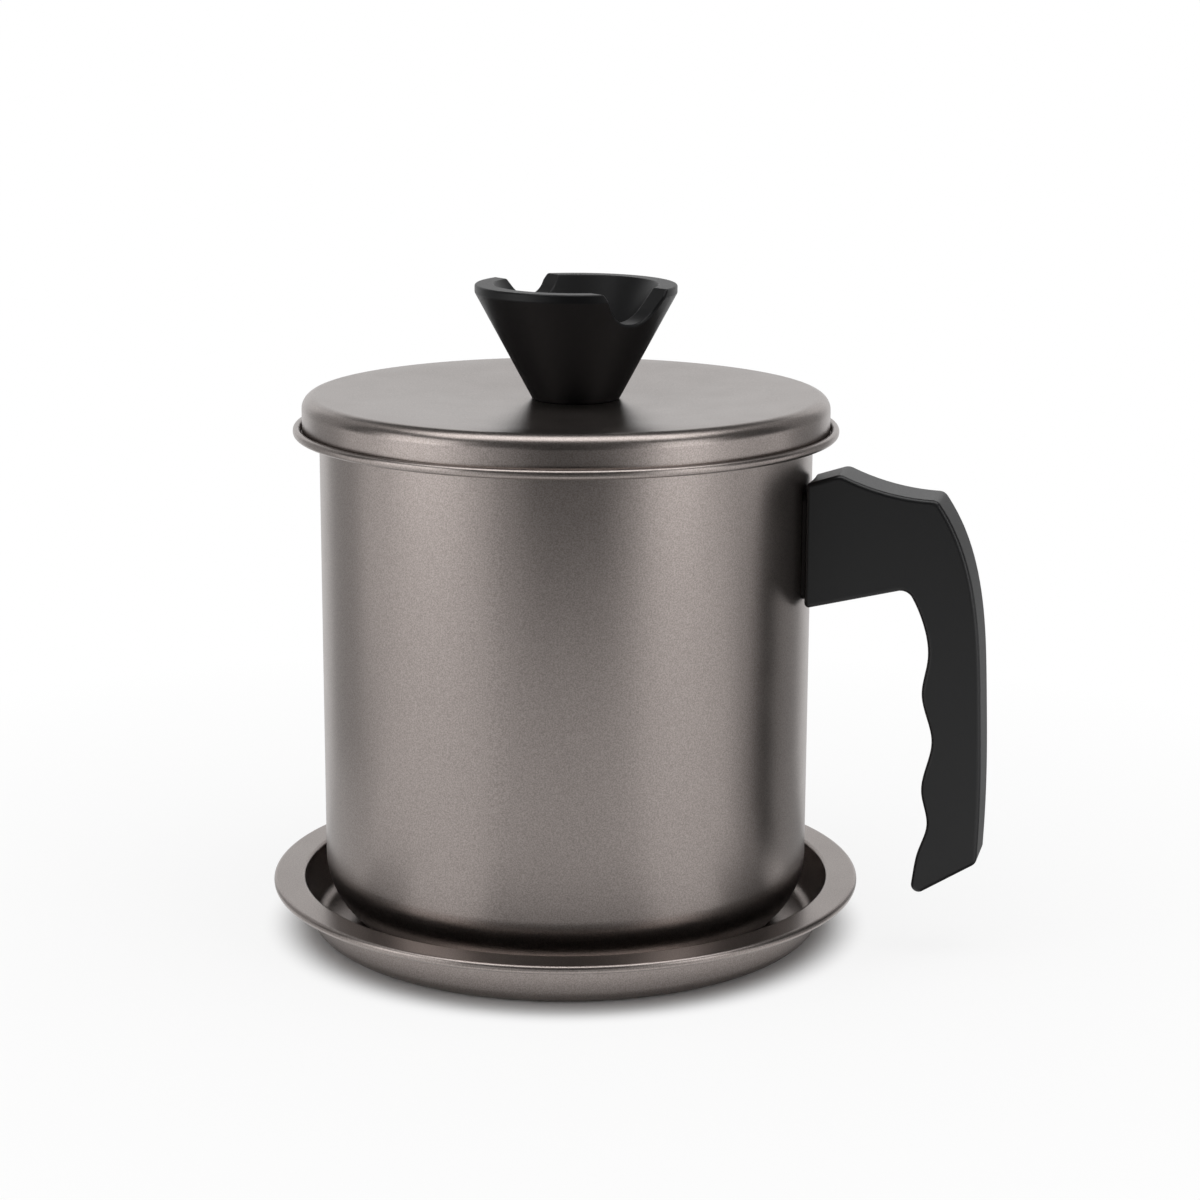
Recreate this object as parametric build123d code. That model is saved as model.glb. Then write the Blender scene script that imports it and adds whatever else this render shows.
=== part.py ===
from build123d import *
import os
from math import cos, radians, sin, tan

# Oil filter pot: a drawn steel pot with a hanging strainer, a lid and a drip tray.
# Lengths are in millimetres and angles in degrees.
# The origin is the centre of the tray's underside, +Z is up and +X runs out along the handle.

# Sheet steel
SHEET = 0.6

# Pot
POT_RADIUS = 62.5
POT_HEIGHT = 128.6
POT_CORNER = 19.0
RIM_OVERHANG = 6.6
LEDGE_BEND = 1.2
BEAD_WIDTH = 2.0
BEAD_HEIGHT = 2.3
BEAD_ROUND = 0.95

# Tray
TRAY_HEIGHT = 13.5
WELL_GAP = 5.95
WELL_DRAFT = 12.0
WELL_CORNER = 4.0
BRIM_WIDTH = 7.75
BRIM_BEND = 0.6
HEM_WIDTH = 2.0
HEM_HEIGHT = 2.1
HEM_ROUND = 0.95

# Strainer
STRAINER_DEPTH = 34.0
STRAINER_DRAFT = 3.0
STRAINER_GAP = 0.6
COLLAR_BEND = 1.2
FLOOR_BEND = 3.0
SEAT_WIDTH = 8.0
MESH_THICKNESS = 0.5
MESH_PITCH = 5.6
MESH_WIRE = 1.2
RING_THICKNESS = 0.8

# Lid
SLIP_GAP = 0.3
LID_HEIGHT = 8.9
LID_EDGE = 3.4
LID_DISH = 1.5
LID_DISH_BEND = 150.0
LID_RIM_FLAT = 5.0
LID_SEAT_RADIUS = 16.0

# Knob, which stands a little off the lid's centre
KNOB_OFFSET = 2.4
KNOB_OFFSET_TURN = 15.0
KNOB_HEIGHT = 29.0
KNOB_BASE_RADIUS = 11.0
KNOB_RIM_RADIUS = 25.5
KNOB_RIM_BAND = 2.0
KNOB_WALL = 5.8
KNOB_FLOOR = 11.0
KNOB_FLOOR_ROUND = 4.0
KNOB_EDGE_ROUND = 0.5
KNOB_ROUND_PER_SLOPE = 1.0

# Groove through the knob's rim: a round bottom with leaning sides, deeper at its front end
GROOVE_TURN = -37.9
GROOVE_OFFSET = 0.6
GROOVE_FRONT_DEPTH = 8.2
GROOVE_BACK_DEPTH = 5.4
GROOVE_RADIUS = 8.2
GROOVE_LEAN = 34.0
GROOVE_ROUND = 0.9

# Screws, washers and the knob's thread insert
SCREW_RADIUS = 2.5
HEAD_RADIUS = 4.6
HEAD_HEIGHT = 3.2
HEAD_ROUND = 1.2
RECESS_LENGTH = 5.2
RECESS_WIDTH = 1.1
RECESS_DEPTH = 1.6
SCREW_CLEARANCE = 0.25
FIT = 0.05
WASHER_THICKNESS = 1.0
KNOB_WASHER_RADIUS = 7.0
HANDLE_WASHER_RADIUS = 5.0
INSERT_RADIUS = 4.0
INSERT_LENGTH = 8.0
KNOB_SCREW_TIP = 0.6

# Handle outline, as (distance out from the pot's wall, drop below the rim)
HANDLE_THICKNESS = 15.0
HANDLE_ROUND = 1.1
ROOT_TOP = (0.0, 9.4)
ARM_PEAK = (9.2, 6.4)
ARM_HOLLOW = (20.3, 10.2)
ARM_SHOULDER = (33.3, 11.7)
GRIP_BACK = [(39.1, 21.8), (43.6, 38.4), (45.5, 62.0), (46.2, 84.0)]
GRIP_HEEL = (45.8, 103.7)
GRIP_TIP = (29.1, 114.2)
GRIP_FRONT = [
    (29.9, 107.4),
    (30.9, 101.9),
    (33.0, 94.6),
    (31.4, 86.2),
    (33.6, 72.8),
    (30.8, 61.0),
    (32.0, 52.2),
    (30.3, 42.0),
]
ARM_CROOK = (26.4, 34.4)
ROOT_BOTTOM = (0.0, 41.0)
PEAK_ROUND = 3.0
SHOULDER_ROUND = 2.5
HEEL_ROUND = 2.4
TIP_ROUND = 1.9
CROOK_ROUND = 3.2

# Handle fixing
BRACKET_PLATE = 1.0
BRACKET_WIDTH = 12.0
BRACKET_MARGIN = 2.0
BRACKET_CORNER = 2.5
TONGUE_DROP = 25.5
TONGUE_THICKNESS = 3.0
TONGUE_LENGTH = 22.0
TONGUE_WALL = 3.0
TONGUE_GAP = 0.1
HANDLE_SCREW_REACH = 12.5
HANDLE_SCREW_SEAT = 4.5
HANDLE_SCREW_TIP = 0.6
HEAD_GAP = 0.4

# Heights and radii that follow from the sizes above
POT_LOW = SHEET
RIM_LOW = POT_LOW + POT_HEIGHT
RIM_RADIUS = POT_RADIUS + RIM_OVERHANG
FLANGE_LOW = RIM_LOW + SHEET
LID_LOW = FLANGE_LOW + SHEET
LID_TOP = LID_LOW + LID_HEIGHT
LID_SEAT = LID_TOP - LID_DISH
SLIP_RADIUS = RIM_RADIUS - BEAD_WIDTH - SLIP_GAP
STRAINER_FLOOR = FLANGE_LOW + SHEET / 2 - STRAINER_DEPTH
COLLAR_TOP_RADIUS = POT_RADIUS - SHEET - STRAINER_GAP - SHEET / 2
COLLAR_FOOT_RADIUS = COLLAR_TOP_RADIUS - STRAINER_DEPTH * tan(radians(STRAINER_DRAFT))
SCREEN_RADIUS = COLLAR_FOOT_RADIUS - FLOOR_BEND
SEAT_RADIUS = COLLAR_FOOT_RADIUS - SEAT_WIDTH
KNOB_X = KNOB_OFFSET * cos(radians(KNOB_OFFSET_TURN))
KNOB_Y = KNOB_OFFSET * sin(radians(KNOB_OFFSET_TURN))
TONGUE_LOW = RIM_LOW - TONGUE_DROP - TONGUE_THICKNESS / 2
HANDLE_SCREW_X = POT_RADIUS + HANDLE_SCREW_REACH
FROM_BELOW = (Align.CENTER, Align.CENTER, Align.MIN)
FROM_ABOVE = (Align.CENTER, Align.CENTER, Align.MAX)
FROM_WALL = (Align.MIN, Align.CENTER, Align.MIN)


def sheet(points, radii):
    """Revolves a sheet about Z; its middle line joins (radius, height) points by rounded corners."""
    middle = FilletPolyline(*points, radius=radii)
    return revolve(Plane.XZ * trace(middle, SHEET), Axis.Z)


def rounded_face(points, radii):
    """A face through the points whose corners are rounded by the radii, 0 for a sharp one."""
    face = make_face(Polyline(*points, close=True))
    for point, radius in zip(points, radii):
        if radius > 0:
            corner = min(face.vertices(), key=lambda vertex: (vertex.center() - Vector(*point)).length)
            face = fillet(corner, radius)
    return face


def rounded_ring(inner, outer, low, high, radius):
    """A ring about Z with all four of its edges rounded."""
    corners = [(inner, low), (outer, low), (outer, high), (inner, high)]
    return revolve(Plane.XZ * rounded_face(corners, [radius] * 4), Axis.Z)


def flat_ring(inner, outer, low, thickness):
    """A flat ring about Z, such as a washer."""
    ring = Cylinder(outer, thickness, align=FROM_BELOW) - Cylinder(inner, thickness, align=FROM_BELOW)
    return Pos(0, 0, low) * ring


def pan_screw(length):
    """A pan head screw with a cross recess, head down, with its seat at the origin."""
    head = Pos(0, 0, -HEAD_HEIGHT) * Cylinder(HEAD_RADIUS, HEAD_HEIGHT, align=FROM_BELOW)
    head = fillet(head.edges().sort_by(Axis.Z)[0], HEAD_ROUND)
    slot = Pos(0, 0, -HEAD_HEIGHT) * Box(RECESS_LENGTH, RECESS_WIDTH, RECESS_DEPTH, align=FROM_BELOW)
    shank = Cylinder(SCREW_RADIUS, length, align=FROM_BELOW)
    return head + shank - slot - Rot(0, 0, 90) * slot


def make_tray():
    """The drip tray: a leaning well, a flat brim and a rolled hem round its edge."""
    floor = SHEET / 2
    brim = TRAY_HEIGHT - SHEET / 2
    well = POT_RADIUS + WELL_GAP
    edge = well + BRIM_WIDTH
    well_floor = well - (brim - floor) * tan(radians(WELL_DRAFT))
    points = [(0, floor), (well_floor, floor), (well, brim), (edge - HEM_WIDTH / 2, brim)]
    dish = sheet(points, [WELL_CORNER - SHEET / 2, BRIM_BEND])
    return dish + rounded_ring(edge - HEM_WIDTH, edge, TRAY_HEIGHT - HEM_HEIGHT, TRAY_HEIGHT, HEM_ROUND)


def make_pot_body():
    """The drawn pot: a large bottom corner, a straight wall, a ledge and a rolled rim bead."""
    floor = POT_LOW + SHEET / 2
    wall = POT_RADIUS - SHEET / 2
    ledge = RIM_LOW + SHEET / 2
    points = [(0, floor), (wall, floor), (wall, ledge), (RIM_RADIUS - BEAD_WIDTH / 2, ledge)]
    shell = sheet(points, [POT_CORNER - SHEET / 2, LEDGE_BEND])
    bead_high = RIM_LOW + BEAD_HEIGHT
    return shell + rounded_ring(RIM_RADIUS - BEAD_WIDTH, RIM_RADIUS, RIM_LOW, bead_high, BEAD_ROUND)


def make_strainer_collar():
    """The strainer's collar: a flange on the pot's ledge, a leaning wall and a seat for the screen."""
    flange = FLANGE_LOW + SHEET / 2
    points = [
        (SLIP_RADIUS, flange),
        (COLLAR_TOP_RADIUS, flange),
        (COLLAR_FOOT_RADIUS, STRAINER_FLOOR),
        (SEAT_RADIUS, STRAINER_FLOOR),
    ]
    return sheet(points, [COLLAR_BEND, FLOOR_BEND])


def make_strainer_mesh():
    """The filter screen: a disc with square openings, drawn coarser than the real weave."""
    opening = MESH_PITCH - MESH_WIRE
    reach = SEAT_RADIUS - MESH_WIRE
    count = int(reach / MESH_PITCH)
    places = [i * MESH_PITCH for i in range(-count, count + 1)]
    half = opening / 2
    holes = [
        Pos(x, y) * Wire.make_rect(opening, opening)
        for x in places
        for y in places
        if Vector(abs(x) + half, abs(y) + half).length < reach
    ]
    face = Face(Wire.make_circle(SCREEN_RADIUS), holes)
    return Pos(0, 0, STRAINER_FLOOR + SHEET / 2) * extrude(face, MESH_THICKNESS)


def make_strainer_ring():
    """The flat ring that clamps the screen on its seat."""
    low = STRAINER_FLOOR + SHEET / 2 + MESH_THICKNESS
    return flat_ring(SEAT_RADIUS, SCREEN_RADIUS, low, RING_THICKNESS)


def at_knob(height):
    """The place on the knob's axis at a height."""
    return Pos(KNOB_X, KNOB_Y, height)


def make_lid_shell():
    """The drawn lid: a skirt, a rounded edge and a shallow dish with a flat seat for the knob."""
    skirt = SLIP_RADIUS - SHEET / 2
    top = LID_TOP - SHEET / 2
    seat = LID_SEAT - SHEET / 2
    flat = SLIP_RADIUS - LID_EDGE - LID_RIM_FLAT
    points = [(0, seat), (LID_SEAT_RADIUS, seat), (flat, top), (skirt, top), (skirt, LID_LOW)]
    shell = sheet(points, [LID_DISH_BEND, LID_DISH_BEND, LID_EDGE - SHEET / 2])
    hole = Cylinder(SCREW_RADIUS + SCREW_CLEARANCE, 4 * SHEET)
    return shell - at_knob(seat) * hole


def groove_half(depth):
    """Half of the groove, from the knob's axis outwards: a V with a round bottom and eased edges."""
    apex = KNOB_HEIGHT - depth - GROOVE_RADIUS * (1 / sin(radians(GROOVE_LEAN)) - 1)
    half = (KNOB_HEIGHT - apex) * tan(radians(GROOVE_LEAN))
    side = half + GROOVE_ROUND
    line = FilletPolyline(
        (-side, KNOB_HEIGHT),
        (-half, KNOB_HEIGHT),
        (0, apex),
        (half, KNOB_HEIGHT),
        (side, KNOB_HEIGHT),
        radius=[GROOVE_ROUND, GROOVE_RADIUS, GROOVE_ROUND],
    )
    above = KNOB_HEIGHT + depth
    cover = Polyline((side, KNOB_HEIGHT), (side, above), (-side, above), (-side, KNOB_HEIGHT))
    section = Plane.YZ * make_face(line.edges() + cover.edges())
    return extrude(section, 2 * KNOB_RIM_RADIUS)


def make_lid_knob():
    """The moulded knob: a cone cup on a solid foot, with the groove and a socket for its insert."""
    band = KNOB_HEIGHT - KNOB_RIM_BAND
    slope = (KNOB_RIM_RADIUS - KNOB_BASE_RADIUS) / band
    cup = KNOB_BASE_RADIUS - KNOB_WALL
    points = [
        (0, 0),
        (KNOB_BASE_RADIUS, 0),
        (KNOB_RIM_RADIUS, band),
        (KNOB_RIM_RADIUS, KNOB_HEIGHT),
        (cup + slope * KNOB_HEIGHT, KNOB_HEIGHT),
        (cup + slope * KNOB_FLOOR, KNOB_FLOOR),
        (0, KNOB_FLOOR),
    ]
    radii = [0, KNOB_EDGE_ROUND, 0, 0, 0, KNOB_FLOOR_ROUND, 0]
    knob = revolve(Plane.XZ * rounded_face(points, radii), Axis.Z)
    groove = groove_half(GROOVE_FRONT_DEPTH) + Rot(0, 0, 180) * groove_half(GROOVE_BACK_DEPTH)
    knob -= Rot(0, 0, GROOVE_TURN) * Pos(0, GROOVE_OFFSET, 0) * groove
    upper = knob.edges().filter_by(lambda edge: edge.center().Z > KNOB_FLOOR + KNOB_FLOOR_ROUND)
    # A steeper cone meets the rim band at a flatter corner, which takes a smaller round
    knob = fillet(upper, min(KNOB_EDGE_ROUND, KNOB_ROUND_PER_SLOPE * slope))
    knob -= Cylinder(INSERT_RADIUS + FIT, INSERT_LENGTH + FIT, align=FROM_BELOW)
    return at_knob(LID_SEAT) * knob


def make_knob_insert():
    """The brass thread in the knob's foot."""
    return at_knob(LID_SEAT) * flat_ring(SCREW_RADIUS + FIT, INSERT_RADIUS, 0, INSERT_LENGTH)


def make_knob_washer():
    """The washer under the lid."""
    low = LID_SEAT - SHEET - WASHER_THICKNESS
    return at_knob(low) * flat_ring(SCREW_RADIUS + SCREW_CLEARANCE, KNOB_WASHER_RADIUS, 0, WASHER_THICKNESS)


def make_knob_screw():
    """The knob's screw, up through the lid into the insert."""
    length = WASHER_THICKNESS + SHEET + INSERT_LENGTH - KNOB_SCREW_TIP
    return at_knob(LID_SEAT - SHEET - WASHER_THICKNESS) * pan_screw(length)


def on_handle(point):
    """Turns (distance out, drop) of the handle's outline into (X, Z)."""
    out, drop = point
    return (POT_RADIUS + out, RIM_LOW - drop)


def make_handle_bracket():
    """The bracket: a curved plate on the pot's wall and a tongue with the screw's thread."""
    root_high = RIM_LOW - ROOT_TOP[1]
    root_low = RIM_LOW - ROOT_BOTTOM[1]
    height = root_high - root_low - 2 * BRACKET_MARGIN
    middle = (root_high + root_low) / 2
    inner = POT_RADIUS + FIT
    outer = inner + BRACKET_PLATE
    tube = Cylinder(outer, height) - Cylinder(inner, height)
    window = extrude(Plane.YZ * RectangleRounded(BRACKET_WIDTH, height, BRACKET_CORNER), 2 * POT_RADIUS)
    plate = Pos(0, 0, middle) * (tube & window)
    width = HANDLE_THICKNESS - 2 * TONGUE_WALL
    start = inner + BRACKET_PLATE / 2
    tongue = Box(TONGUE_LENGTH, width, TONGUE_THICKNESS, align=FROM_WALL)
    bracket = plate + Pos(start, 0, TONGUE_LOW) * tongue
    thread = Cylinder(SCREW_RADIUS + FIT, 2 * TONGUE_THICKNESS)
    return bracket - Pos(HANDLE_SCREW_X, 0, TONGUE_LOW + TONGUE_THICKNESS / 2) * thread


def handle_outline():
    """The handle seen from the side, in X and Z."""
    back = [on_handle(p) for p in [ARM_SHOULDER, *GRIP_BACK, GRIP_HEEL]]
    front = [on_handle(p) for p in [GRIP_TIP, *GRIP_FRONT, ARM_CROOK]]
    edges = [
        Line(on_handle(ROOT_TOP), on_handle(ARM_PEAK)),
        ThreePointArc(on_handle(ARM_PEAK), on_handle(ARM_HOLLOW), on_handle(ARM_SHOULDER)),
        Spline(*back),
        Line(on_handle(GRIP_HEEL), on_handle(GRIP_TIP)),
        Spline(*front),
        Line(on_handle(ARM_CROOK), on_handle(ROOT_BOTTOM)),
        Line(on_handle(ROOT_BOTTOM), on_handle(ROOT_TOP)),
    ]
    return make_face(edges)


def make_handle_grip():
    """The moulded handle: an eased slab with a socket for the tongue and a screw hole from below."""
    grip = extrude(Plane.XZ * handle_outline(), HANDLE_THICKNESS / 2, both=True)
    corners = [
        (ARM_PEAK, PEAK_ROUND),
        (ARM_SHOULDER, SHOULDER_ROUND),
        (GRIP_HEEL, HEEL_ROUND),
        (GRIP_TIP, TIP_ROUND),
        (ARM_CROOK, CROOK_ROUND),
    ]
    for point, radius in corners:
        x, z = on_handle(point)
        across = grip.edges().filter_by(Axis.Y)
        corner = min(across, key=lambda edge: (edge.center() - Vector(x, 0, z)).length)
        grip = fillet(corner, radius)
    root = POT_RADIUS + FIT + BRACKET_PLATE + FIT
    grip -= Cylinder(root, 4 * POT_HEIGHT)
    grip = fillet(grip.edges(), HANDLE_ROUND)
    socket_width = HANDLE_THICKNESS - 2 * TONGUE_WALL + 2 * TONGUE_GAP
    socket_height = TONGUE_THICKNESS + 2 * TONGUE_GAP
    socket = Box(TONGUE_LENGTH + BRACKET_PLATE, socket_width, socket_height, align=FROM_WALL)
    grip -= Pos(POT_RADIUS, 0, TONGUE_LOW - TONGUE_GAP) * socket
    seat = Pos(HANDLE_SCREW_X, 0, TONGUE_LOW - HANDLE_SCREW_SEAT)
    length = HANDLE_SCREW_SEAT + TONGUE_THICKNESS + 2 * HANDLE_SCREW_TIP
    hole = Cylinder(SCREW_RADIUS + SCREW_CLEARANCE, length, align=FROM_BELOW)
    well = Cylinder(HANDLE_WASHER_RADIUS + HEAD_GAP, ROOT_BOTTOM[1], align=FROM_ABOVE)
    return grip - seat * hole - seat * well


def make_handle_washer():
    """The washer under the handle screw's head."""
    low = TONGUE_LOW - HANDLE_SCREW_SEAT - WASHER_THICKNESS
    ring = flat_ring(SCREW_RADIUS + SCREW_CLEARANCE, HANDLE_WASHER_RADIUS, low, WASHER_THICKNESS)
    return Pos(HANDLE_SCREW_X, 0, 0) * ring


def make_handle_screw():
    """The handle's screw, up through the arm into the bracket's tongue."""
    seat = TONGUE_LOW - HANDLE_SCREW_SEAT - WASHER_THICKNESS
    length = WASHER_THICKNESS + HANDLE_SCREW_SEAT + TONGUE_THICKNESS + HANDLE_SCREW_TIP
    return Pos(HANDLE_SCREW_X, 0, seat) * pan_screw(length)


PIECES = {
    "tray": make_tray,
    "pot_body": make_pot_body,
    "handle_bracket": make_handle_bracket,
    "handle_grip": make_handle_grip,
    "handle_washer": make_handle_washer,
    "handle_screw": make_handle_screw,
    "strainer_collar": make_strainer_collar,
    "strainer_mesh": make_strainer_mesh,
    "strainer_ring": make_strainer_ring,
    "lid_shell": make_lid_shell,
    "lid_knob": make_lid_knob,
    "knob_insert": make_knob_insert,
    "knob_washer": make_knob_washer,
    "knob_screw": make_knob_screw,
}

os.makedirs("parts", exist_ok=True)
for name, make in PIECES.items():
    export_step(make(), f"parts/{name}.step")
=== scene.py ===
"""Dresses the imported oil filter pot: drawn steel, mouldings, woven strainer and a small studio."""

import bmesh
import bpy
import numpy as np
from mathutils import Matrix, Vector


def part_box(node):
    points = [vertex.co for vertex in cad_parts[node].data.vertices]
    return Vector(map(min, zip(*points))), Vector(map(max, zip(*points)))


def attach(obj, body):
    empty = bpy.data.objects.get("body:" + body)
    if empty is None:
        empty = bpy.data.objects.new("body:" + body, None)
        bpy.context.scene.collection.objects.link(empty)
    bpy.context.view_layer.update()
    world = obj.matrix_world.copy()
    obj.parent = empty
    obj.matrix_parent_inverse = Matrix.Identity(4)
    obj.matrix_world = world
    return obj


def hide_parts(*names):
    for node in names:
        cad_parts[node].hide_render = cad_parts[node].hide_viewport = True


bl_info = {
    "name": "Oil filter pot",
    "version": (1, 0, 0),
    "blender": (4, 5, 0),
    "location": "View3D > Sidebar > Oil pot",
    "description": "Builds the looks of an oil filter pot around its packed model",
    "category": "Object",
}

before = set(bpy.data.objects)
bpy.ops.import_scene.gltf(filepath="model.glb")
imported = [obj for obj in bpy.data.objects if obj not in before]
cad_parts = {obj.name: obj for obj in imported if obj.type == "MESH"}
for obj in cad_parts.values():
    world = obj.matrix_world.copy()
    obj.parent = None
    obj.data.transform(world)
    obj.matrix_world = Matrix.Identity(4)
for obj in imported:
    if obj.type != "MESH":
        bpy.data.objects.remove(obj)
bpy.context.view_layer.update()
TRAY_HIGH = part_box("tray")[1]
POT_LOW, POT_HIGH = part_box("pot_body")
COLLAR_LOW, COLLAR_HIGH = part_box("strainer_collar")
SCREEN_LOW, SCREEN_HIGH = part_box("strainer_mesh")
LID_LOW, LID_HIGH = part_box("lid_shell")
KNOB_LOW, KNOB_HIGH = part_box("lid_knob")

MM = 0.001

# How finely surfaces are divided
WELD_DISTANCE = 0.001 * MM
FLAT_MARGIN = 0.12 * MM
SEGMENTS = 192
LEAST_ARC_STEPS = 7
MOST_ARC_STEPS = 32

# Small rounds of sheet steel: where a rolled edge meets its sheet, and along a cut edge
FOLD_ROUND = 0.15 * MM
CUT_ROUND = 0.2 * MM

# Shares of the lid's seat: its rings slide over to the knob's axis between the start and start - width
SLIDE_START = 0.8
SLIDE_WIDTH = 0.3

# Finishes: grain widths in mm as they are drawn, lowest and highest roughness, and the share of its colour
# that is left in a finish's darkest grain
FLAKE_MM = 0.33
CLOUD_MM = 9
COAT_ROUGHNESS = (0.27, 0.33)
MOULD_GRAIN_MM = 0.45
MOULD_ROUGHNESS = (0.34, 0.46)
PHENOLIC_IOR = 1.55
MOULD_SHADE = 0.7
KNOB_GLOSS = 0.2
HANDLE_GLOSS = 0.45
METAL_ROUGHNESS_SPREAD = 0.08
METAL_SHADE = 0.85

# Studio board: distances from the pot's axis between which its own white takes over, and its two shares
BOARD_START = 65 * MM
BOARD_NEAR = 80 * MM
BOARD_FAR = 300 * MM
BOARD_NEAR_SHARE = 0.86
BOARD_FAR_SHARE = 0.14
FIRST_BOUNCE = 1.5

# Table and backdrop, in metres and degrees
TABLE_RINGS = (8.0, 2.0, 1.0, 0.5, 0.2, 0.0)
TABLE_SEGMENTS = 96
WALL_FOOT = 1.5
WALL_BEND = 0.4
WALL_TOP = 1.25
WALL_SPREAD = 63
WALL_ROWS = 12
WALL_COLUMNS = 49
CARD_COLUMNS = 9

# Glowing cards round the pot, which only the metal's mirror rays see, so they paint darker reflections into
# it: name, first and last angle from the camera's heading in degrees, (radius, height) of the first and
# last edge in metres, brightness
CARDS = (
    ("front_card", -18, 20, (0.5, 0.0), (0.5, 0.15), 0.0),
    ("front_left_card", -32, -18, (0.5, 0.0), (0.5, 0.15), 0.4),
    ("front_right_card", 20, 32, (0.5, 0.0), (0.5, 0.15), 0.35),
    ("front_table_card", -28, 28, (0.135, 0.001), (0.5, 0.001), 0.8),
    ("near_table_card", -28, 30, (0.095, 0.001), (0.135, 0.001), 0.37),
    ("near_left_card", -58, -28, (0.095, 0.001), (0.135, 0.001), 0.88),
    ("near_right_card", 30, 57, (0.095, 0.001), (0.135, 0.001), 0.8),
    ("near_side_card", -82, -58, (0.095, 0.001), (0.135, 0.001), 0.4),
    ("near_handle_card", 57, 82, (0.095, 0.001), (0.135, 0.001), 0.15),
    ("right_card", 94, 126, (0.2, 0.0), (0.2, 0.35), 0.36),
    ("right_table_card", 95, 125, (0.1, 0.001), (0.35, 0.001), 0.4),
    ("handle_table_card", 82, 95, (0.12, 0.001), (0.24, 0.001), 0.15),
    ("handle_side_card", 71, 82, (0.135, 0.001), (0.24, 0.001), 0.5),
    ("handle_far_card", 77, 94, (0.24, 0.001), (0.75, 0.001), 0.53),
    ("left_card", -125, -94, (0.2, 0.0), (0.2, 0.35), 0.47),
    ("left_table_card", -125, -85, (0.1, 0.001), (0.35, 0.001), 0.68),
)

# Soft boxes: name, their brightness setting, angle from the camera's heading in degrees, then distance,
# height, width and length in metres
SOFT_BOXES = (
    ("left_soft_box", "side_lamps", -63, 0.95, 0.3, 0.6, 0.6),
    ("right_soft_box", "side_lamps", 50, 0.95, 0.3, 0.42, 0.6),
    ("top_soft_box", "top_lamp", 0, 0.15, 1.15, 1.8, 0.7),
)
AIM_HEIGHT = 0.08
SENSOR_MM = 36


def linear(code):
    """Turns an sRGB hex code into the linear colour that shaders use."""
    srgb = np.array([int(code[i : i + 2], 16) for i in (0, 2, 4)]) / 255
    return tuple(np.where(srgb <= 0.04045, srgb / 12.92, ((srgb + 0.055) / 1.055) ** 2.4).tolist())


def size(name, description, metres):
    """A length that a user may change, in metres."""
    return bpy.props.FloatProperty(
        name=name, description=description, default=metres, precision=5, unit="LENGTH"
    )


def turn(name, description, degrees):
    """An angle that a user may change."""
    return bpy.props.FloatProperty(
        name=name, description=description, default=np.radians(degrees), subtype="ANGLE"
    )


def level(name, description, value):
    """A plain number that a user may change."""
    return bpy.props.FloatProperty(name=name, description=description, default=value, min=0)


def tint(name, description, code):
    """A colour that a user may change."""
    return bpy.props.FloatVectorProperty(
        name=name, description=description, default=linear(code), size=3, min=0, max=1, subtype="COLOR"
    )


class TraySizes(bpy.types.PropertyGroup):
    """Sizes of the drip tray."""

    sheet: size("Sheet", "Thickness of the drawn steel", 0.6 * MM)
    edge: size("Edge radius", "Outside radius of the rolled hem", TRAY_HIGH.x)
    height: size("Height", "Top of the brim above the table", TRAY_HIGH.z)
    brim: size("Brim width", "Flat brim from the well to its edge", 7.75 * MM)
    draft: turn("Well draft", "How far the well's wall leans out", 12)
    corner: size("Well corner", "Radius between the floor and the wall", 3.7 * MM)
    bend: size("Brim bend", "Radius between the wall and the brim", 0.6 * MM)
    hem_width: size("Hem width", "Width of the rolled edge", 2 * MM)
    hem_height: size("Hem height", "Height of the rolled edge", 2.1 * MM)
    hem_round: size("Hem rounding", "Rounding of the rolled edge", 0.95 * MM)


class PotSizes(bpy.types.PropertyGroup):
    """Sizes of the drawn pot."""

    sheet: size("Sheet", "Thickness of the drawn steel", 0.6 * MM)
    radius: size("Wall radius", "Outside radius of the straight wall", 62.5 * MM)
    low: size("Underside", "Height of the pot's underside in its tray", POT_LOW.z)
    rim: size("Rim radius", "Outside radius of the rolled bead", POT_HIGH.y)
    high: size("Rim height", "Top of the rolled bead", POT_HIGH.z)
    corner: size("Bottom corner", "Radius between the floor and the wall", 18.7 * MM)
    bend: size("Ledge bend", "Radius between the wall and the ledge", 1.2 * MM)
    bead_width: size("Bead width", "Width of the rolled bead", 2 * MM)
    bead_height: size("Bead height", "Height of the rolled bead", 2.3 * MM)
    bead_round: size("Bead rounding", "Rounding of the rolled bead", 0.95 * MM)


class LidSizes(bpy.types.PropertyGroup):
    """Sizes of the lid."""

    sheet: size("Sheet", "Thickness of the drawn steel", 0.6 * MM)
    radius: size("Radius", "Outside radius of the skirt", LID_HIGH.x)
    low: size("Skirt foot", "Height of the skirt's lower edge", LID_LOW.z)
    high: size("Top", "Height of the lid's flat border", LID_HIGH.z)
    edge: size("Edge", "Radius between the top and the skirt", 3.1 * MM)
    border: size("Border", "Flat border inside the rounded edge", 5 * MM)
    dish: size("Dish", "How far the knob's seat lies below the border", 1.5 * MM)
    dish_bend: size("Dish bend", "Radius of the dish's soft bends", 150 * MM)
    seat: size("Seat radius", "Radius of the flat under the knob", 16 * MM)
    hole: size("Hole radius", "Radius of the knob screw's hole", 2.75 * MM)


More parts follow.
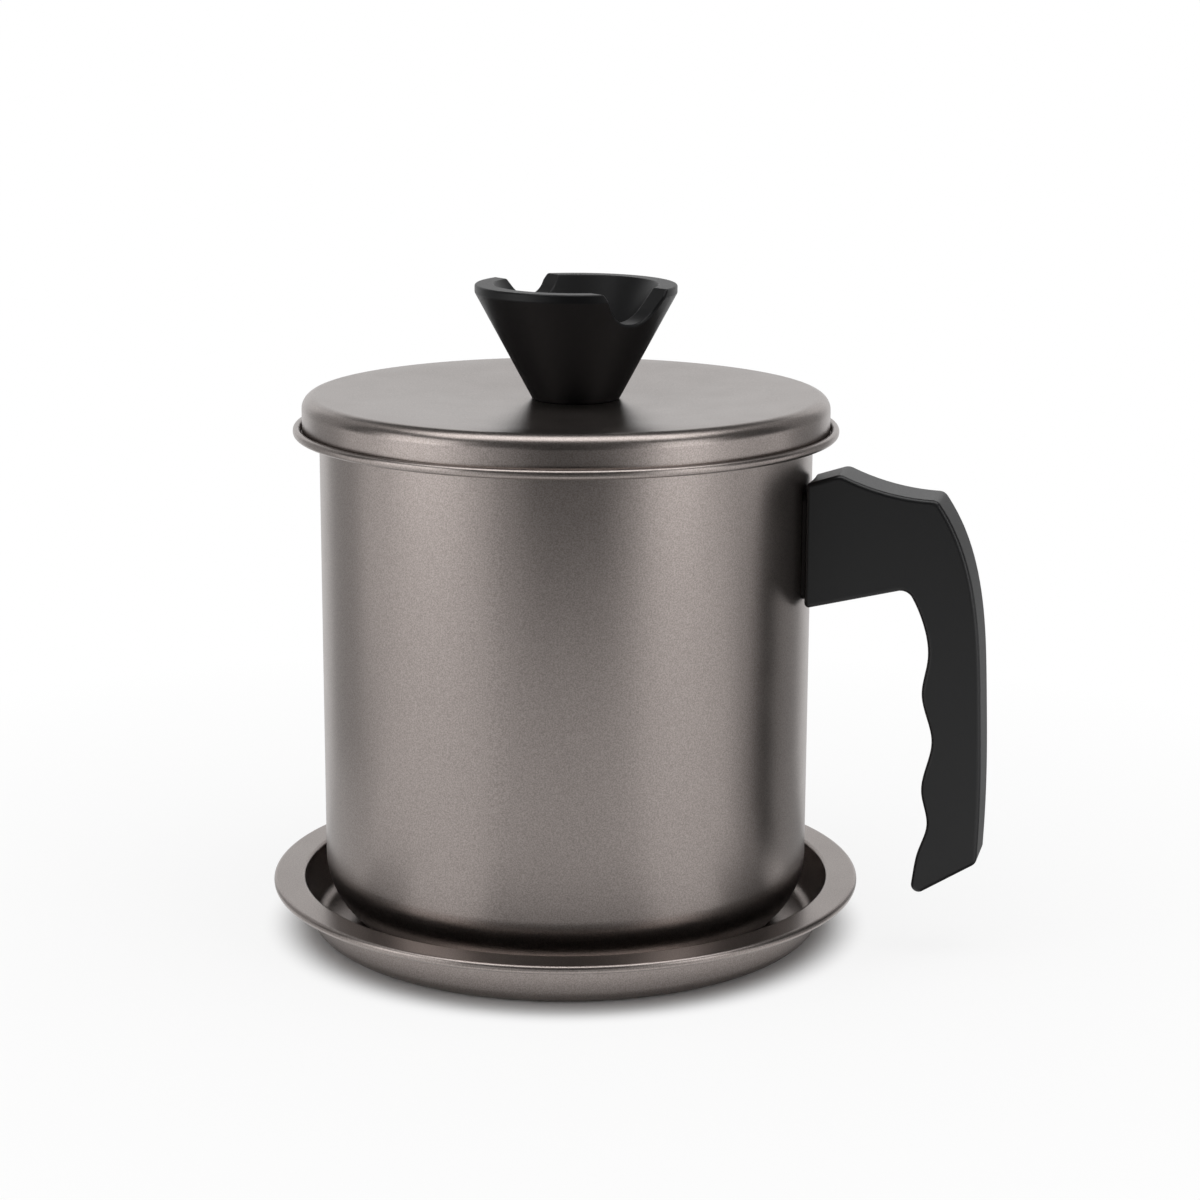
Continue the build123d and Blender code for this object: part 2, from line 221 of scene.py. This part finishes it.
class StrainerSizes(bpy.types.PropertyGroup):
    """Sizes of the strainer."""

    sheet: size("Sheet", "Thickness of the formed steel", 0.6 * MM)
    flange: size("Flange radius", "Outside radius of the flange", COLLAR_HIGH.x)
    high: size("Flange top", "Height of the flange's upper face", COLLAR_HIGH.z)
    low: size("Seat underside", "Height of the seat's lower face", COLLAR_LOW.z)
    top: size("Top radius", "Radius of the wall's middle under the flange", 61 * MM)
    draft: turn("Draft", "How far the wall leans in", 3)
    seat: size("Seat width", "Width of the screen's seat", 8 * MM)
    bend: size("Flange bend", "Radius between the flange and the wall", 1.2 * MM)
    floor_bend: size("Floor bend", "Radius between the wall and the seat", 3 * MM)
    screen: size("Screen radius", "Radius of the woven screen", SCREEN_HIGH.x)
    pitch: size("Weave pitch", "Distance between the screen's wires", 2.5 * MM)


class Finishes(bpy.types.PropertyGroup):
    """Colours of the finishes."""

    coat: tint("Coating", "Warm grey metallic coat of the pot, lid and tray", "8B837F")
    flake: tint("Flake", "Lighter flakes in the coat", "A69D99")
    moulding: tint("Moulding", "Black phenolic of the handle and the knob", "08080A")
    stainless: tint("Stainless", "Strainer steel", "B9B7B2")
    zinc: tint("Zinc", "Screws and washers", "BDBEBC")
    brass: tint("Brass", "Thread insert", "C29A4A")
    # The bracket's dark tone is painted shade, taken from its shaded sliver at the handle's root
    bracket: tint("Bracket", "Dark coated bracket", "2A2827")


class StudioSettings(bpy.types.PropertyGroup):
    """The camera and the light."""

    distance: size("Distance", "Camera to the pot's axis, measured level", 709.38 * MM)
    height: size("Height", "Camera above the table", 247.1 * MM)
    heading: turn("Heading", "Direction of the camera seen from the pot", -75)
    pitch: turn("Pitch", "How far the camera looks down", 12.846)
    yaw: turn("Yaw", "How far the camera looks to the right of the pot", 0.705)
    roll: turn("Roll", "How far the camera leans to its left", 0.235)
    lens: bpy.props.FloatProperty(
        name="Lens", description="Focal length on a 36 mm sensor", default=84.767, unit="CAMERA"
    )
    surroundings: level("Surroundings", "Brightness of the room around the set", 0.07)
    side_lamps: level("Side lamps", "Brightness of the two soft boxes at the sides", 2.0)
    top_lamp: level("Top lamp", "Brightness of the soft box overhead", 2.6)


class OilPotSettings(bpy.types.PropertyGroup):
    """All sizes and colours of the oil pot."""

    tray: bpy.props.PointerProperty(type=TraySizes, name="Tray", description="Drip tray")
    pot: bpy.props.PointerProperty(type=PotSizes, name="Pot", description="Drawn pot")
    lid: bpy.props.PointerProperty(type=LidSizes, name="Lid", description="Lid")
    strainer: bpy.props.PointerProperty(type=StrainerSizes, name="Strainer", description="Strainer")
    finishes: bpy.props.PointerProperty(type=Finishes, name="Finishes", description="Colours")
    studio: bpy.props.PointerProperty(type=StudioSettings, name="Studio", description="Camera and light")


def unit(vectors):
    """Vectors of length one."""
    return vectors / np.maximum(np.linalg.norm(vectors, axis=-1, keepdims=True), 1e-12)


def rounded_outline(corners, radii, closed=False):
    """Joins (radius, height) corners by straight runs and arcs.

    An arc of radius r starts r tan(turn / 2) before its corner and turns about a centre r to the side.
    Runs get a point close to each end, so that flats shade flat.
    """
    corners = np.array(corners, float)
    radii = np.array(radii, float)
    come = unit(corners - np.roll(corners, 1, axis=0))
    go = unit(np.roll(corners, -1, axis=0) - corners)
    bend = np.arctan2(come[:, 0] * go[:, 1] - come[:, 1] * go[:, 0], (come * go).sum(-1))
    start = corners - come * (radii * np.tan(np.abs(bend) / 2))[:, None]
    spoke = np.stack([come[:, 1], -come[:, 0]], -1) * (np.sign(bend) * radii)[:, None]
    ahead = np.stack([-spoke[:, 1], spoke[:, 0]], -1)
    arcs = []
    for i, corner in enumerate(corners):
        if not closed and i in (0, len(corners) - 1):
            arcs.append(corner[None])
        else:
            steps = int(np.clip(6 + 4 * np.sqrt(radii[i] / MM), LEAST_ARC_STEPS, MOST_ARC_STEPS))
            angle = np.linspace(0, bend[i], steps)[:, None]
            arcs.append(start[i] - spoke[i] + spoke[i] * np.cos(angle) + ahead[i] * np.sin(angle))
    if closed:
        arcs.append(arcs[0])
    rows = []
    for arc, following in zip(arcs, arcs[1:]):
        run = following[0] - arc[-1]
        near = min(FLAT_MARGIN / max(np.linalg.norm(run), WELD_DISTANCE), 0.2)
        share = np.array([near, 0.25, 0.5, 0.75, 1 - near])[:, None]
        rows += [arc, arc[-1] + run * share]
    rows.append(arcs[-1][:1])
    return np.concatenate(rows)


def sheet_outline(middle, radii, thickness, end_corners=(), end_radii=()):
    """The outline of a bent sheet: its right side, what stands at its end, and its left side back.

    Each side is the middle line moved by half the thickness, with the corners where the moved runs meet.
    """
    middle = np.array(middle, float)
    along = unit(np.diff(middle, axis=0))
    left = np.stack([-along[:, 1], along[:, 0]], -1)
    cross = along[:-1, 0] * along[1:, 1] - along[:-1, 1] * along[1:, 0]
    half_turn = np.arctan2(cross, (along[:-1] * along[1:]).sum(-1)) / 2
    mitre = unit(left[:-1] + left[1:]) / np.cos(half_turn)[:, None]
    offset = np.vstack([left[:1], mitre, left[-1:]]) * thickness / 2
    side = np.sign(cross) * thickness / 2
    right_radii = np.concatenate([[0], np.array(radii) + side, [0]])
    left_radii = np.concatenate([[0], np.array(radii) - side, [0]])
    right, back = middle - offset, (middle + offset)[::-1]
    back_radii = left_radii[::-1]
    if len(end_corners):
        right, right_radii = right[:-1], right_radii[:-1]
        back, back_radii = back[1:], back_radii[1:]
    else:
        end_corners = np.zeros((0, 2))
    corners = np.vstack([right, end_corners, back])
    return corners, np.concatenate([right_radii, end_radii, back_radii])


def revolved(outline, angles=None, centre=None):
    """Carries (radius r, height z) round Z by the angle a: (r cos a, r sin a, z), moved by centre(r)."""
    if angles is None:
        angles = np.linspace(0, 2 * np.pi, SEGMENTS, endpoint=False)
    radius, height = outline[:, :1], outline[:, 1:]
    grid = np.stack([radius * np.cos(angles), radius * np.sin(angles), height + 0 * angles], -1)
    if centre is not None:
        grid[..., :2] += centre(radius)
    return grid


def grid_faces(rows, columns, wrap):
    """Four-sided faces between neighbouring rows and columns; wrap joins the last column to the first."""
    i, j = np.meshgrid(np.arange(rows - 1), np.arange(columns if wrap else columns - 1), indexing="ij")
    following = (j + 1) % columns
    faces = [i * columns + j, i * columns + following, (i + 1) * columns + following, (i + 1) * columns + j]
    return np.stack(faces, -1).reshape(-1, 4)


def make_object(name, points, faces, material):
    """Puts a surface into a smooth mesh whose seams and poles are welded, and links its object."""
    mesh = bpy.data.meshes.new(name)
    mesh.from_pydata(points.reshape(-1, 3), [], faces)
    work = bmesh.new()
    work.from_mesh(mesh)
    bmesh.ops.remove_doubles(work, verts=work.verts, dist=WELD_DISTANCE)
    work.to_mesh(mesh)
    work.free()
    mesh.shade_smooth()
    mesh.materials.append(material)
    piece = bpy.data.objects.new(name, mesh)
    bpy.context.scene.collection.objects.link(piece)
    return piece


def turned_piece(name, grid, material, body, node):
    """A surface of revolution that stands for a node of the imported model."""
    piece = make_object(name, grid, grid_faces(*grid.shape[:2], True), material)
    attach(piece, body)
    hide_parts(node)


def node(tree, kind, inputs=None, **settings):
    """Adds a shader node: settings are its own properties, inputs are socket values or links."""
    made = tree.nodes.new(kind)
    for key, value in settings.items():
        setattr(made, key, value)
    for key, value in (inputs or {}).items():
        if isinstance(value, bpy.types.NodeSocket):
            tree.links.new(value, made.inputs[key])
        else:
            made.inputs[key].default_value = value
    return made


def new_material(name):
    """A new material and its empty tree, or the material that an earlier operator made and no tree."""
    material = bpy.data.materials.get(name)
    if material:
        return material, None
    material = bpy.data.materials.new(name)
    material.use_nodes = True
    material.node_tree.nodes.clear()
    return material, material.node_tree


def per_metre(grain_mm):
    """The texture scale that gives a grain of that size."""
    return 1 / (grain_mm * MM)


def opaque(colour):
    """A colour with full alpha."""
    return (*colour, 1)


def coated_steel():
    """Metallic baked coat on drawn steel: sprayed flakes under a thin matt binder.

    It mirrors the room softly, brightens at a glancing angle as metal does, and its flakes give a fine
    grain. They are about 0.05 mm, which no picture of the whole pot shows, so they are drawn wider.
    """
    material, tree = new_material("metallic_baked_coat_on_steel")
    if tree:
        finishes = bpy.context.scene.oil_pot.finishes
        place = node(tree, "ShaderNodeTexCoord").outputs["Object"]
        speckle = {"Vector": place, "Scale": per_metre(FLAKE_MM), "Detail": 2, "Roughness": 0.6}
        grain = node(tree, "ShaderNodeTexNoise", speckle).outputs["Fac"]
        contrast = {"Value": grain, "From Min": 0.35, "From Max": 0.65}
        grain = node(tree, "ShaderNodeMapRange", contrast).outputs["Result"]
        haze = {"Vector": place, "Scale": per_metre(CLOUD_MM), "Detail": 3}
        cloud = node(tree, "ShaderNodeTexNoise", haze).outputs["Fac"]
        colours = {"Factor": grain, "A": opaque(finishes.coat), "B": opaque(finishes.flake)}
        colour = node(tree, "ShaderNodeMix", colours, data_type="RGBA").outputs["Result"]
        smooth, rough = COAT_ROUGHNESS
        gloss = node(tree, "ShaderNodeMapRange", {"Value": cloud, "To Min": smooth, "To Max": rough})
        bump = node(tree, "ShaderNodeBump", {"Height": grain, "Strength": 0.25, "Distance": 0.01 * MM})
        coat = {
            "Base Color": colour,
            "Roughness": gloss.outputs["Result"],
            "Normal": bump.outputs["Normal"],
            "Metallic": 1.0,
        }
        shader = node(tree, "ShaderNodeBsdfPrincipled", coat).outputs["BSDF"]
        node(tree, "ShaderNodeOutputMaterial", {"Surface": shader})
    return material


def phenolic_moulding(name, gloss):
    """Black phenolic, pressed in a lightly blasted mould: matt, with a fine even grain.

    Gloss is how strongly its skin reflects: the knob is duller than the handle. The mould's grain is about
    0.15 mm and is drawn three times as wide so that it shows.
    """
    material, tree = new_material(name)
    if tree:
        finishes = bpy.context.scene.oil_pot.finishes
        place = node(tree, "ShaderNodeTexCoord").outputs["Object"]
        blast = {"Vector": place, "Scale": per_metre(MOULD_GRAIN_MM), "Detail": 3}
        grain = node(tree, "ShaderNodeTexNoise", blast).outputs["Fac"]
        smooth, rough = MOULD_ROUGHNESS
        skin = node(tree, "ShaderNodeMapRange", {"Value": grain, "To Min": smooth, "To Max": rough})
        dark = tuple(MOULD_SHADE * part for part in finishes.moulding)
        colours = {"Factor": grain, "A": opaque(dark), "B": opaque(finishes.moulding)}
        colour = node(tree, "ShaderNodeMix", colours, data_type="RGBA").outputs["Result"]
        bump = node(tree, "ShaderNodeBump", {"Height": grain, "Strength": 0.3, "Distance": 0.03 * MM})
        phenolic = {
            "Base Color": colour,
            "Roughness": skin.outputs["Result"],
            "Normal": bump.outputs["Normal"],
            "IOR": PHENOLIC_IOR,
            "Specular IOR Level": gloss,
        }
        shader = node(tree, "ShaderNodeBsdfPrincipled", phenolic).outputs["BSDF"]
        node(tree, "ShaderNodeOutputMaterial", {"Surface": shader})
    return material


def worked_metal(name, colour, roughness, line_mm, run_mm):
    """Bare metal with fine tool lines that run level: noise stretched along X and Y."""
    material, tree = new_material(name)
    if tree:
        place = node(tree, "ShaderNodeTexCoord").outputs["Object"]
        stretch = (per_metre(run_mm), per_metre(run_mm), per_metre(line_mm))
        drawn = node(tree, "ShaderNodeMapping", {"Vector": place, "Scale": stretch}).outputs["Vector"]
        streaks = {"Vector": drawn, "Scale": 1.0, "Detail": 4}
        lines = node(tree, "ShaderNodeTexNoise", streaks).outputs["Fac"]
        smooth, rough = roughness - METAL_ROUGHNESS_SPREAD, roughness + METAL_ROUGHNESS_SPREAD
        gloss = node(tree, "ShaderNodeMapRange", {"Value": lines, "To Min": smooth, "To Max": rough})
        dark = tuple(METAL_SHADE * part for part in colour)
        colours = {"Factor": lines, "A": opaque(dark), "B": opaque(colour)}
        shade = node(tree, "ShaderNodeMix", colours, data_type="RGBA").outputs["Result"]
        metal = {"Base Color": shade, "Roughness": gloss.outputs["Result"], "Metallic": 1.0}
        shader = node(tree, "ShaderNodeBsdfPrincipled", metal).outputs["BSDF"]
        node(tree, "ShaderNodeOutputMaterial", {"Surface": shader})
    return material


def satin_stainless():
    """Stainless steel, formed and satin finished: soft, pale and lightly lined round its axis."""
    colour = bpy.context.scene.oil_pot.finishes.stainless
    return worked_metal("satin_stainless_steel", colour, roughness=0.34, line_mm=0.4, run_mm=12)


def zinc_plate():
    """Zinc plated steel: cold, bright and slightly clouded."""
    colour = bpy.context.scene.oil_pot.finishes.zinc
    return worked_metal("zinc_plated_steel", colour, roughness=0.3, line_mm=0.6, run_mm=0.8)


def turned_brass():
    """Turned brass: yellow, with fine tool rings."""
    colour = bpy.context.scene.oil_pot.finishes.brass
    return worked_metal("turned_brass", colour, roughness=0.28, line_mm=0.3, run_mm=6)


def shaded_bracket_steel():
    """Steel bracket in a dark tone that paints the shade at the handle's root: half matt, slightly uneven.
    """
    colour = bpy.context.scene.oil_pot.finishes.bracket
    return worked_metal("bracket_steel_painted_shade", colour, roughness=0.5, line_mm=0.7, run_mm=0.7)


def dress(names, material):
    """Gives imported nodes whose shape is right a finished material."""
    for name in names:
        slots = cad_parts[name].data.materials
        slots.clear()
        slots.append(material)


def studio_board():
    """White studio board: where it is seen or mirrored most of its white is its own, so it stays even.

    Close to the tray it is plain paint that takes the shadow, and its own white takes over further out.
    What is mirrored twice sees plain paint too, so that narrow gaps between the pieces stay dark.
    """
    material, tree = new_material("white_studio_board")
    if tree:
        place = node(tree, "ShaderNodeTexCoord").outputs["Object"]
        away = node(tree, "ShaderNodeVectorMath", {0: place}, operation="LENGTH").outputs["Value"]
        close = {"Value": away, "From Min": BOARD_START, "From Max": BOARD_NEAR, "To Max": BOARD_NEAR_SHARE}
        near = node(tree, "ShaderNodeMapRange", close, interpolation_type="SMOOTHSTEP").outputs["Result"]
        wide = {"Value": away, "From Min": BOARD_NEAR, "From Max": BOARD_FAR, "To Max": BOARD_FAR_SHARE}
        far = node(tree, "ShaderNodeMapRange", wide).outputs["Result"]
        own = node(tree, "ShaderNodeMath", {0: near, 1: far}, operation="ADD").outputs[0]
        path = node(tree, "ShaderNodeLightPath").outputs
        seen = path["Is Camera Ray"]
        for ray in ("Is Glossy Ray", "Is Transmission Ray"):
            seen = node(tree, "ShaderNodeMath", {0: seen, 1: path[ray]}, operation="MAXIMUM").outputs[0]
        depth = {0: path["Glossy Depth"], 1: FIRST_BOUNCE}
        once = node(tree, "ShaderNodeMath", depth, operation="LESS_THAN").outputs[0]
        for limit in (seen, once):
            own = node(tree, "ShaderNodeMath", {0: own, 1: limit}, operation="MULTIPLY").outputs[0]
        plain = node(tree, "ShaderNodeBsdfDiffuse", {"Color": opaque(linear("F4F4F4"))}).outputs["BSDF"]
        white = node(tree, "ShaderNodeEmission", {"Strength": 1.0}).outputs["Emission"]
        shader = node(tree, "ShaderNodeMixShader", {0: own, 1: plain, 2: white}).outputs["Shader"]
        node(tree, "ShaderNodeOutputMaterial", {"Surface": shader})
    return material


def reflection_only_card(name, brightness):
    """Glowing card of an even brightness that only mirror rays see: a painted reflection, which takes light
    out of what the metal mirrors on its side.
    """
    material, tree = new_material(name)
    if tree:
        shader = node(tree, "ShaderNodeEmission", {"Strength": brightness}).outputs["Emission"]
        node(tree, "ShaderNodeOutputMaterial", {"Surface": shader})
    return material


class OILPOT_OT_tray(bpy.types.Operator):
    """Makes the drip tray"""

    bl_idname = "oilpot.tray"
    bl_label = "Drip tray"

    def execute(self, context):
        s = context.scene.oil_pot.tray
        floor = s.sheet / 2
        brim = s.height - s.sheet / 2
        well = s.edge - s.brim
        foot = well - (brim - floor) * np.tan(s.draft)
        hem = [
            (s.edge - s.hem_width, s.height - s.sheet),
            (s.edge - s.hem_width, s.height - s.hem_height),
            (s.edge, s.height - s.hem_height),
            (s.edge, s.height),
        ]
        hem_radii = [FOLD_ROUND, s.hem_round, s.hem_round, s.hem_round]
        middle = [(0, floor), (foot, floor), (well, brim), (s.edge - s.hem_width, brim)]
        corners, radii = sheet_outline(middle, [s.corner, s.bend], s.sheet, hem, hem_radii)
        grid = revolved(rounded_outline(corners, radii))
        turned_piece("drip_tray", grid, coated_steel(), "tray", "tray")
        return {"FINISHED"}


class OILPOT_OT_pot(bpy.types.Operator):
    """Makes the drawn pot with its ledge and rolled bead"""

    bl_idname = "oilpot.pot"
    bl_label = "Pot"

    def execute(self, context):
        s = context.scene.oil_pot.pot
        floor = s.low + s.sheet / 2
        wall = s.radius - s.sheet / 2
        rim_low = s.high - s.bead_height
        ledge = rim_low + s.sheet / 2
        inner = s.rim - s.bead_width
        bead = [(s.rim, rim_low), (s.rim, s.high), (inner, s.high), (inner, rim_low + s.sheet)]
        bead_radii = [s.bead_round, s.bead_round, s.bead_round, FOLD_ROUND]
        middle = [(0, floor), (wall, floor), (wall, ledge), (inner, ledge)]
        corners, radii = sheet_outline(middle, [s.corner, s.bend], s.sheet, bead, bead_radii)
        grid = revolved(rounded_outline(corners, radii))
        turned_piece("pot_shell", grid, coated_steel(), "pot", "pot_body")
        return {"FINISHED"}


class OILPOT_OT_lid(bpy.types.Operator):
    """Makes the dished lid"""

    bl_idname = "oilpot.lid"
    bl_label = "Lid"

    def execute(self, context):
        s = context.scene.oil_pot.lid
        knob = np.array([(KNOB_LOW.x + KNOB_HIGH.x) / 2, (KNOB_LOW.y + KNOB_HIGH.y) / 2])
        skirt = s.radius - s.sheet / 2
        top = s.high - s.sheet / 2
        seat = top - s.dish
        border = s.radius - (s.edge + s.sheet / 2) - s.border
        middle = [(s.hole, seat), (s.seat, seat), (border, top), (skirt, top), (skirt, s.low)]
        corners, radii = sheet_outline(middle, [s.dish_bend, s.dish_bend, s.edge], s.sheet)
        radii[radii == 0] = CUT_ROUND

        def centre(radius):
            """The hole lies on the knob's axis, the lid on the pot's: the rings between slide over."""
            share = np.clip((s.seat * SLIDE_START - radius) / (s.seat * SLIDE_WIDTH), 0, 1)
            return knob * (share * share * (3 - 2 * share))[..., None]

        grid = revolved(rounded_outline(corners, radii, closed=True), centre=centre)
        turned_piece("lid_cover", grid, coated_steel(), "lid", "lid_shell")
        return {"FINISHED"}


class OILPOT_OT_knob(bpy.types.Operator):
    """Finishes the moulded cone knob"""

    bl_idname = "oilpot.knob"
    bl_label = "Knob"

    def execute(self, context):
        dress(["lid_knob"], phenolic_moulding("matt_black_phenolic_moulding", KNOB_GLOSS))
        return {"FINISHED"}


class OILPOT_OT_handle(bpy.types.Operator):
    """Finishes the moulded handle and its bracket"""

    bl_idname = "oilpot.handle"
    bl_label = "Handle"

    def execute(self, context):
        dress(["handle_grip"], phenolic_moulding("satin_black_phenolic_moulding", HANDLE_GLOSS))
        # the bracket's dark tone is painted shade at the handle's root
        dress(["handle_bracket"], shaded_bracket_steel())
        return {"FINISHED"}


class OILPOT_OT_strainer(bpy.types.Operator):
    """Makes the strainer's collar and woven screen, and finishes its clamp ring"""

    bl_idname = "oilpot.strainer"
    bl_label = "Strainer"

    def execute(self, context):
        s = context.scene.oil_pot.strainer
        flange = s.high - s.sheet / 2
        floor = s.low + s.sheet / 2
        foot = s.top - (flange - floor) * np.tan(s.draft)
        middle = [(s.flange, flange), (s.top, flange), (foot, floor), (foot - s.seat, floor)]
        corners, radii = sheet_outline(middle, [s.bend, s.floor_bend], s.sheet)
        radii[radii == 0] = CUT_ROUND
        grid = revolved(rounded_outline(corners, radii, closed=True))
        steel = satin_stainless()
        turned_piece("strainer_bowl", grid, steel, "strainer", "strainer_collar")
        points, faces = self.weave(s)
        screen = make_object("woven_screen", points, faces, steel)
        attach(screen, "strainer")
        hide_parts("strainer_mesh")
        dress(["strainer_ring"], steel)
        return {"FINISHED"}

    def weave(self, s):
        """Wires in two directions, each a square tube along a wave: z = (-1)^k a cos(pi x / pitch).

        The height a is a wire's radius and k its number. Wires of the other direction take the opposite
        sign, so they pass over and under each other.
        Past the screen's edge a wire's radius is 0, which closes its ends.
        """
        thickness = SCREEN_HIGH.z - SCREEN_LOW.z
        radius = thickness / 4
        middle = SCREEN_LOW.z + thickness / 2
        count = int(s.screen / s.pitch)
        k = np.arange(-count, count + 1)
        x = np.arange(-2 * count - 2, 2 * count + 3) * s.pitch / 2
        reach = np.sqrt(s.screen**2 - (k * s.pitch) ** 2)[:, None] - radius
        along = np.clip(x[None], -reach, reach)
        wave = np.where(k % 2 == 0, 1, -1)[:, None] * radius * np.cos(np.pi * along / s.pitch)
        thick = np.where(np.abs(x[None]) < reach + s.pitch / 2, radius, 0)
        corner = np.arange(4) * np.pi / 2
        one = np.ones(4)
        tube = [
            along[..., None] * one,
            (k * s.pitch)[:, None, None] + thick[..., None] * np.sin(corner),
            middle + wave[..., None] + thick[..., None] * np.cos(corner),
        ]
        warp = np.stack(tube, -1)
        weft = warp[..., [1, 0, 2]]
        weft[..., 2] = 2 * middle - weft[..., 2]
        rows, columns = len(x), len(corner)
        faces = grid_faces(rows, columns, True)
        starts = np.arange(2 * len(k))[:, None, None] * rows * columns
        every = np.broadcast_to(faces, (2 * len(k), *faces.shape)) + starts
        points = np.concatenate([warp, weft])
        return points, every.reshape(-1, 4)


class OILPOT_OT_fasteners(bpy.types.Operator):
    """Finishes the screws, washers and thread insert"""

    bl_idname = "oilpot.fasteners"
    bl_label = "Fasteners"

    def execute(self, context):
        dress(["knob_screw", "knob_washer", "handle_screw", "handle_washer"], zinc_plate())
        dress(["knob_insert"], turned_brass())
        return {"FINISHED"}


class OILPOT_OT_stage(bpy.types.Operator):
    """Sets the table, the backdrop, the lamps and the camera"""

    bl_idname = "oilpot.stage"
    bl_label = "Studio"

    def execute(self, context):
        s = context.scene.oil_pot.studio
        context.scene.view_settings.view_transform = "Standard"
        self.set_table(s)
        self.set_world(context, s)
        self.set_lamps(s)
        self.set_camera(context, s)
        return {"FINISHED"}

    def set_table(self, s):
        """A round table top, the wall behind it, which rises in a quarter circle, and the glowing cards
        that only the metal's reflections show.
        """
        angles = np.linspace(0, 2 * np.pi, TABLE_SEGMENTS, endpoint=False)
        radius = np.array(TABLE_RINGS)
        grid = revolved(np.stack([radius, 0 * radius], -1), angles)
        white = studio_board()
        table = make_object("table", grid, grid_faces(*grid.shape[:2], True), white)
        rise = np.linspace(0, np.pi / 2, WALL_ROWS)
        bend = [WALL_FOOT + WALL_BEND * np.sin(rise), WALL_BEND - WALL_BEND * np.cos(rise)]
        outline = np.vstack([np.stack(bend, -1), [(WALL_FOOT + WALL_BEND, WALL_TOP)]])
        spread = s.heading + np.pi + np.radians(np.linspace(-WALL_SPREAD, WALL_SPREAD, WALL_COLUMNS))
        wall = revolved(outline, spread)
        backdrop = make_object("backdrop", wall, grid_faces(*wall.shape[:2], False), white)
        # glowing cards hidden from all but mirror rays: painted reflections in the metal
        flags = [self.card(s, *card) for card in CARDS]

    def card(self, s, name, start, end, first, last, brightness):
        """A glowing card bent round the pot, seen only in the metal's reflections: its two edges carried
        from the start angle to the end angle.
        """
        spread = s.heading + np.radians(np.linspace(start, end, CARD_COLUMNS))
        grid = revolved(np.array([first, last]), spread)
        flag = make_object(name, grid, grid_faces(*grid.shape[:2], False), reflection_only_card(name, brightness))
        flag.visible_camera = False
        flag.visible_shadow = False
        flag.visible_diffuse = False
        return flag

    def set_world(self, context, s):
        """An even grey room."""
        world = bpy.data.worlds.new("studio_room")
        world.use_nodes = True
        world.node_tree.nodes["Background"].inputs["Color"].default_value = (1, 1, 1, 1)
        world.node_tree.nodes["Background"].inputs["Strength"].default_value = s.surroundings
        context.scene.world = world

    def set_lamps(self, s):
        """Two soft boxes at the sides and one overhead, each aimed at the pot."""
        for name, setting, aside, distance, height, width, length in SOFT_BOXES:
            lamp = bpy.data.lights.new(name, "AREA")
            lamp.shape = "RECTANGLE"
            lamp.size, lamp.size_y = width, length
            lamp.energy = getattr(s, setting) * np.pi * width * length
            holder = bpy.data.objects.new(name, lamp)
            heading = s.heading + np.radians(aside)
            place = Vector((distance * np.cos(heading), distance * np.sin(heading), height))
            aim = (Vector((0, 0, AIM_HEIGHT)) - place).to_track_quat("-Z", "Y")
            holder.matrix_world = Matrix.Translation(place) @ aim.to_matrix().to_4x4()
            holder.visible_camera = False
            bpy.context.scene.collection.objects.link(holder)

    def set_camera(self, context, s):
        """The photograph's view: turn to the heading, look down by the pitch, then lean by the roll."""
        camera = bpy.data.cameras.new("photo_camera")
        camera.sensor_width = SENSOR_MM
        camera.lens = s.lens
        holder = bpy.data.objects.new("photo_camera", camera)
        place = Vector((s.distance * np.cos(s.heading), s.distance * np.sin(s.heading), s.height))
        aim = Matrix.Rotation(s.heading + np.pi / 2 - s.yaw, 4, "Z")
        aim = aim @ Matrix.Rotation(np.pi / 2 - s.pitch, 4, "X") @ Matrix.Rotation(s.roll, 4, "Z")
        holder.matrix_world = Matrix.Translation(place) @ aim
        context.scene.collection.objects.link(holder)
        context.scene.camera = holder


PIECE_OPERATORS = (
    OILPOT_OT_tray,
    OILPOT_OT_pot,
    OILPOT_OT_lid,
    OILPOT_OT_knob,
    OILPOT_OT_handle,
    OILPOT_OT_strainer,
    OILPOT_OT_fasteners,
    OILPOT_OT_stage,
)


class OILPOT_PT_sidebar(bpy.types.Panel):
    """Lists the oil pot's pieces and settings"""

    bl_label = "Oil pot"
    bl_idname = "OILPOT_PT_sidebar"
    bl_space_type = "VIEW_3D"
    bl_region_type = "UI"
    bl_category = "Oil pot"

    def draw(self, context):
        settings = context.scene.oil_pot
        for operator in PIECE_OPERATORS:
            self.layout.operator(operator.bl_idname)
        for group in (settings.finishes, settings.studio):
            box = self.layout.box()
            for name in group.__annotations__:
                box.prop(group, name)


CLASSES = (
    TraySizes,
    PotSizes,
    LidSizes,
    StrainerSizes,
    Finishes,
    StudioSettings,
    OilPotSettings,
    *PIECE_OPERATORS,
    OILPOT_PT_sidebar,
)


def register():
    """Adds the classes and the settings to Blender."""
    for each in CLASSES:
        bpy.utils.register_class(each)
    bpy.types.Scene.oil_pot = bpy.props.PointerProperty(
        type=OilPotSettings, name="Oil pot", description="Sizes and colours of the oil pot"
    )


def unregister():
    """Takes the settings and the classes out again."""
    del bpy.types.Scene.oil_pot
    for each in reversed(CLASSES):
        bpy.utils.unregister_class(each)


def main():
    """Builds every piece in order."""
    register()
    bpy.ops.oilpot.tray()
    bpy.ops.oilpot.pot()
    bpy.ops.oilpot.lid()
    bpy.ops.oilpot.knob()
    bpy.ops.oilpot.handle()
    bpy.ops.oilpot.strainer()
    bpy.ops.oilpot.fasteners()
    bpy.ops.oilpot.stage()


if __name__ == "__main__":
    main()
